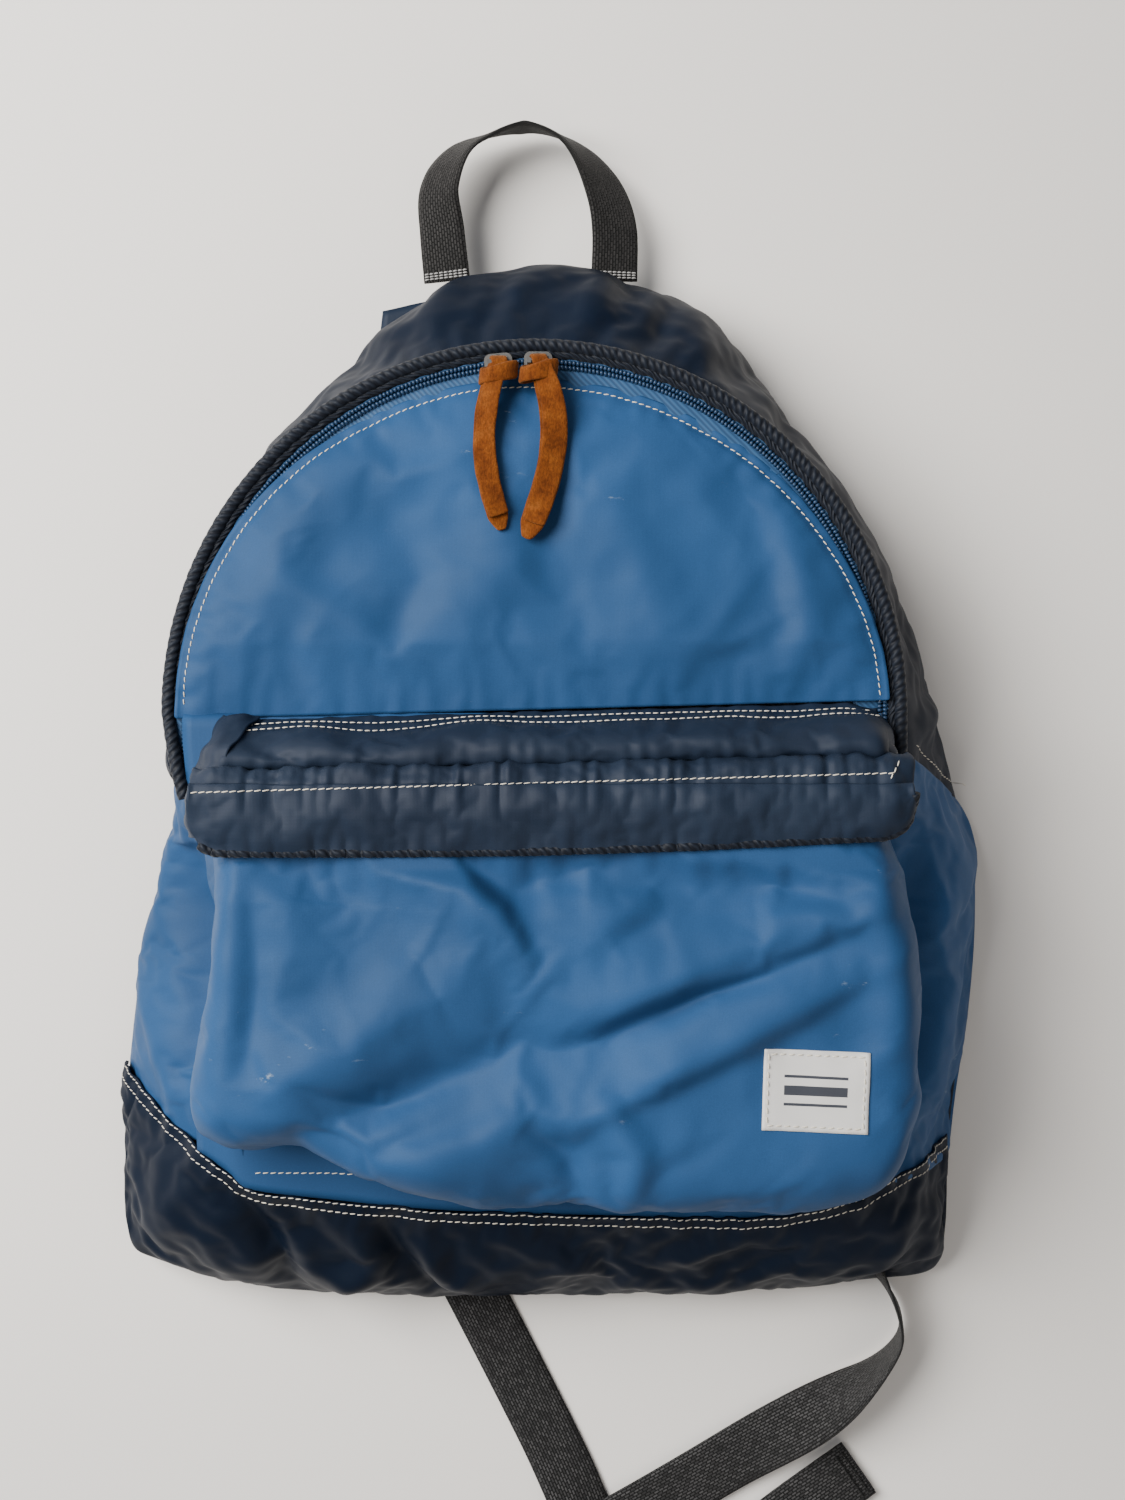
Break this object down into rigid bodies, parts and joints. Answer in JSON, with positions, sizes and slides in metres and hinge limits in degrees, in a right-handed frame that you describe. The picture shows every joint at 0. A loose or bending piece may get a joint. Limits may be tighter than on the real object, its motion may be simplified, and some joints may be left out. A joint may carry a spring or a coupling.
{
  "type": "daypack",
  "caption": "Soft dome-topped daypack lying on its back, with a zipped dome lid, a flapped front pocket, a webbing haul handle, padded shoulder straps and loose webbing tails.",
  "frame": {"origin": "middle of the bag's footprint, on the surface that it lies on", "axes": "+Z out of the bag's front, +Y towards the haul handle, +X to the right of a person who looks at the front"},
  "size_m": [0.344, 0.6521, 0.1131],
  "materials": {
    "blue_nylon": "mid blue coated pack nylon, soft sheen",
    "navy_nylon": "dark navy coated pack nylon",
    "piping": "near-black navy corded binding",
    "zip_tape": "blue knitted zip tape",
    "zip_tape_navy": "navy knitted zip tape",
    "zip_coil": "dark blue nylon coil",
    "slider_metal": "worn nickel-coloured metal",
    "suede": "cognac suede",
    "webbing": "charcoal grey woven webbing",
    "strap_fabric": "navy nylon over spacer mesh",
    "back_mesh": "navy woven back panel",
    "foam": "grey closed-cell foam",
    "lock_plastic": "black acetal",
    "label": "white satin woven label"
  },
  "bodies": {
    "bag": {"back_panel": "back_mesh", "back_foam": "foam", "top_gusset": "navy_nylon", "side_panel_left": "blue_nylon", "side_panel_right": "blue_nylon", "base_panel": "navy_nylon", "front_panel": "blue_nylon", "dome_piping": "piping", "gusset_zip_tape": "zip_tape", "gusset_zip_coil": "zip_coil", "zip_end_left": "zip_tape", "zip_end_right": "zip_tape", "pocket_hood": "navy_nylon", "pocket_front": "blue_nylon", "pocket_zip_tape_upper": "zip_tape_navy", "pocket_zip_tape_lower": "zip_tape_navy", "pocket_zip_coil": "zip_coil", "flap_seam": "piping", "label": "label", "shoulder_yoke": "webbing", "strap_anchor_left": "navy_nylon", "strap_anchor_right": "navy_nylon", "anchor_webbing_left": "webbing", "anchor_webbing_right": "webbing"},
    "dome_lid": {"dome_panel": "blue_nylon", "dome_zip_tape": "zip_tape", "dome_zip_coil": "zip_coil"},
    "slider_left": {"main_slider_left": "slider_metal"},
    "slider_right": {"main_slider_right": "slider_metal"},
    "pull_left": {"pull_link_left": "slider_metal", "pull_thong_left": "suede"},
    "pull_right": {"pull_link_right": "slider_metal", "pull_thong_right": "suede"},
    "pocket_slider": {"pocket_slider": "slider_metal", "pocket_pull": "slider_metal"},
    "pocket_flap": {"pocket_flap": "navy_nylon", "flap_binding": "piping"},
    "haul_handle": {"haul_handle": "webbing"},
    "strap_left": {"shoulder_strap_left": "strap_fabric", "strap_foam_left": "foam", "lock_loop_left": "webbing", "ladder_lock_left": "lock_plastic", "webbing_tail_left": "webbing"},
    "strap_right": {"shoulder_strap_right": "strap_fabric", "strap_foam_right": "foam", "lock_loop_right": "webbing", "ladder_lock_right": "lock_plastic", "webbing_tail_right": "webbing"}
  },
  "joints": [
    {"name": "dome_lid_hinge", "type": "hinge", "parent": "bag", "child": "dome_lid", "pos_m": [0, 0, 0.0735], "axis": [1, 0, 0], "range_deg": [0, 80]},
    {"name": "left_slider_travel", "type": "hinge", "parent": "dome_lid", "child": "slider_left", "pos_m": [0, 0, 0.0735], "axis": [0, 0, 1], "range_deg": [0, 76]},
    {"name": "right_slider_travel", "type": "hinge", "parent": "dome_lid", "child": "slider_right", "pos_m": [0, 0, 0.0735], "axis": [0, 0, 1], "range_deg": [-80, 0]},
    {"name": "left_pull_swing", "type": "hinge", "parent": "slider_left", "child": "pull_left", "pos_m": [-0.014, 0.13573, 0.0786], "axis": [-1, 0, 0], "range_deg": [0, 110]},
    {"name": "right_pull_swing", "type": "hinge", "parent": "slider_right", "child": "pull_right", "pos_m": [0.0015, 0.13644, 0.0786], "axis": [-1, 0, 0], "range_deg": [0, 110]},
    {"name": "pocket_slider_travel", "type": "slide", "parent": "bag", "child": "pocket_slider", "axis": [1, 0, 0], "range_m": [0, 0.2]},
    {"name": "pocket_flap_hinge", "type": "hinge", "parent": "bag", "child": "pocket_flap", "pos_m": [0, -0.0279, 0.112], "axis": [-1, 0, 0], "range_deg": [0, 150]},
    {"name": "haul_handle_swing", "type": "hinge", "parent": "bag", "child": "haul_handle", "pos_m": [0, 0.1846, 0.016], "axis": [1, 0, 0], "range_deg": [-10, 95]},
    {"name": "left_strap_swing", "type": "hinge", "parent": "bag", "child": "strap_left", "pos_m": [0, 0.1276, 0.0092], "axis": [1, 0, 0], "range_deg": [0, 35]},
    {"name": "right_strap_swing", "type": "hinge", "parent": "bag", "child": "strap_right", "pos_m": [0, 0.1276, 0.0092], "axis": [1, 0, 0], "range_deg": [0, 35]}
  ]
}
